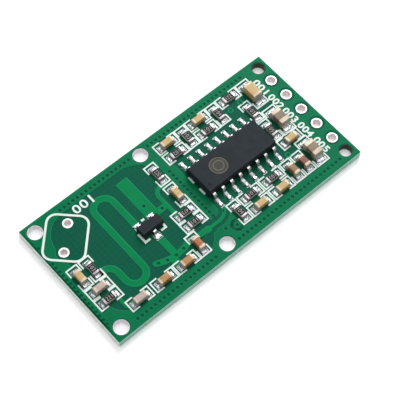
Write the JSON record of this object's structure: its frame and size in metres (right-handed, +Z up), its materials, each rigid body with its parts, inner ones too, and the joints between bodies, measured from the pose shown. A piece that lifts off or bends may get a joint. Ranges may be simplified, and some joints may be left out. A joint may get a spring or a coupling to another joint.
{
  "type": "microwave radar sensor module",
  "caption": "Small green circuit board with a printed meander antenna, a transistor, a timer chip, small parts and a row of pin holes.",
  "frame": {"origin": "middle of the board on its underside", "axes": "+X along the board to the end with the pin holes, +Y across it, +Z up out of the face with the parts"},
  "size_m": [0.0354, 0.0172, 0.0026],
  "materials": {
    "laminate": "satin",
    "lacquered_copper": "gloss",
    "tin": "satin",
    "white_print": "matte",
    "mould_compound": "matte",
    "resistor_coat": "satin",
    "ceramic_tan": "satin",
    "ceramic_pink": "satin",
    "ceramic_orange": "satin",
    "ceramic_brown": "satin"
  },
  "bodies": {
    "root": {"circuit_board": "laminate", "ground_pour": "lacquered_copper", "antenna_track": "lacquered_copper", "collector_patch": "lacquered_copper", "emitter_track": "lacquered_copper", "supply_track": "lacquered_copper", "link_tracks": "lacquered_copper", "component_pads": "tin", "option_pads_back": "tin", "print_legend": "white_print", "solder_joints": "tin", "timer_chip_body": "mould_compound", "timer_chip_leads": "tin", "transistor_body": "mould_compound", "transistor_base_lead": "tin", "transistor_emitter_lead": "tin", "transistor_collector_lead": "tin", "barrel_pin_1": "tin", "barrel_pin_2": "tin", "barrel_pin_3": "tin", "barrel_pin_4": "tin", "barrel_pin_5": "tin", "barrel_sensor_1": "tin", "barrel_sensor_2": "tin", "resistor_r1": "resistor_coat", "resistor_r2": "resistor_coat", "resistor_r3": "resistor_coat", "resistor_r4": "resistor_coat", "resistor_r5": "resistor_coat", "resistor_r6": "resistor_coat", "resistor_r7": "resistor_coat", "resistor_r8": "resistor_coat", "resistor_r9": "resistor_coat", "resistor_r10": "resistor_coat", "resistor_r11": "resistor_coat", "resistor_r12": "resistor_coat", "resistor_r13": "resistor_coat", "resistor_r14": "resistor_coat", "resistor_r15": "resistor_coat", "capacitor_c1": "ceramic_tan", "capacitor_c2": "ceramic_pink", "capacitor_c3": "ceramic_pink", "capacitor_c4": "ceramic_orange", "capacitor_c5": "ceramic_orange", "capacitor_c6": "ceramic_orange", "capacitor_c7": "ceramic_tan", "capacitor_c8": "ceramic_tan", "capacitor_c9": "ceramic_tan", "capacitor_c10": "ceramic_tan", "capacitor_c11": "ceramic_brown", "capacitor_c12": "ceramic_tan", "capacitor_c13": "ceramic_brown", "capacitor_c14": "ceramic_tan", "capacitor_c15": "ceramic_tan", "capacitor_c16": "ceramic_brown", "capacitor_c17": "ceramic_brown"}
  },
  "joints": []
}
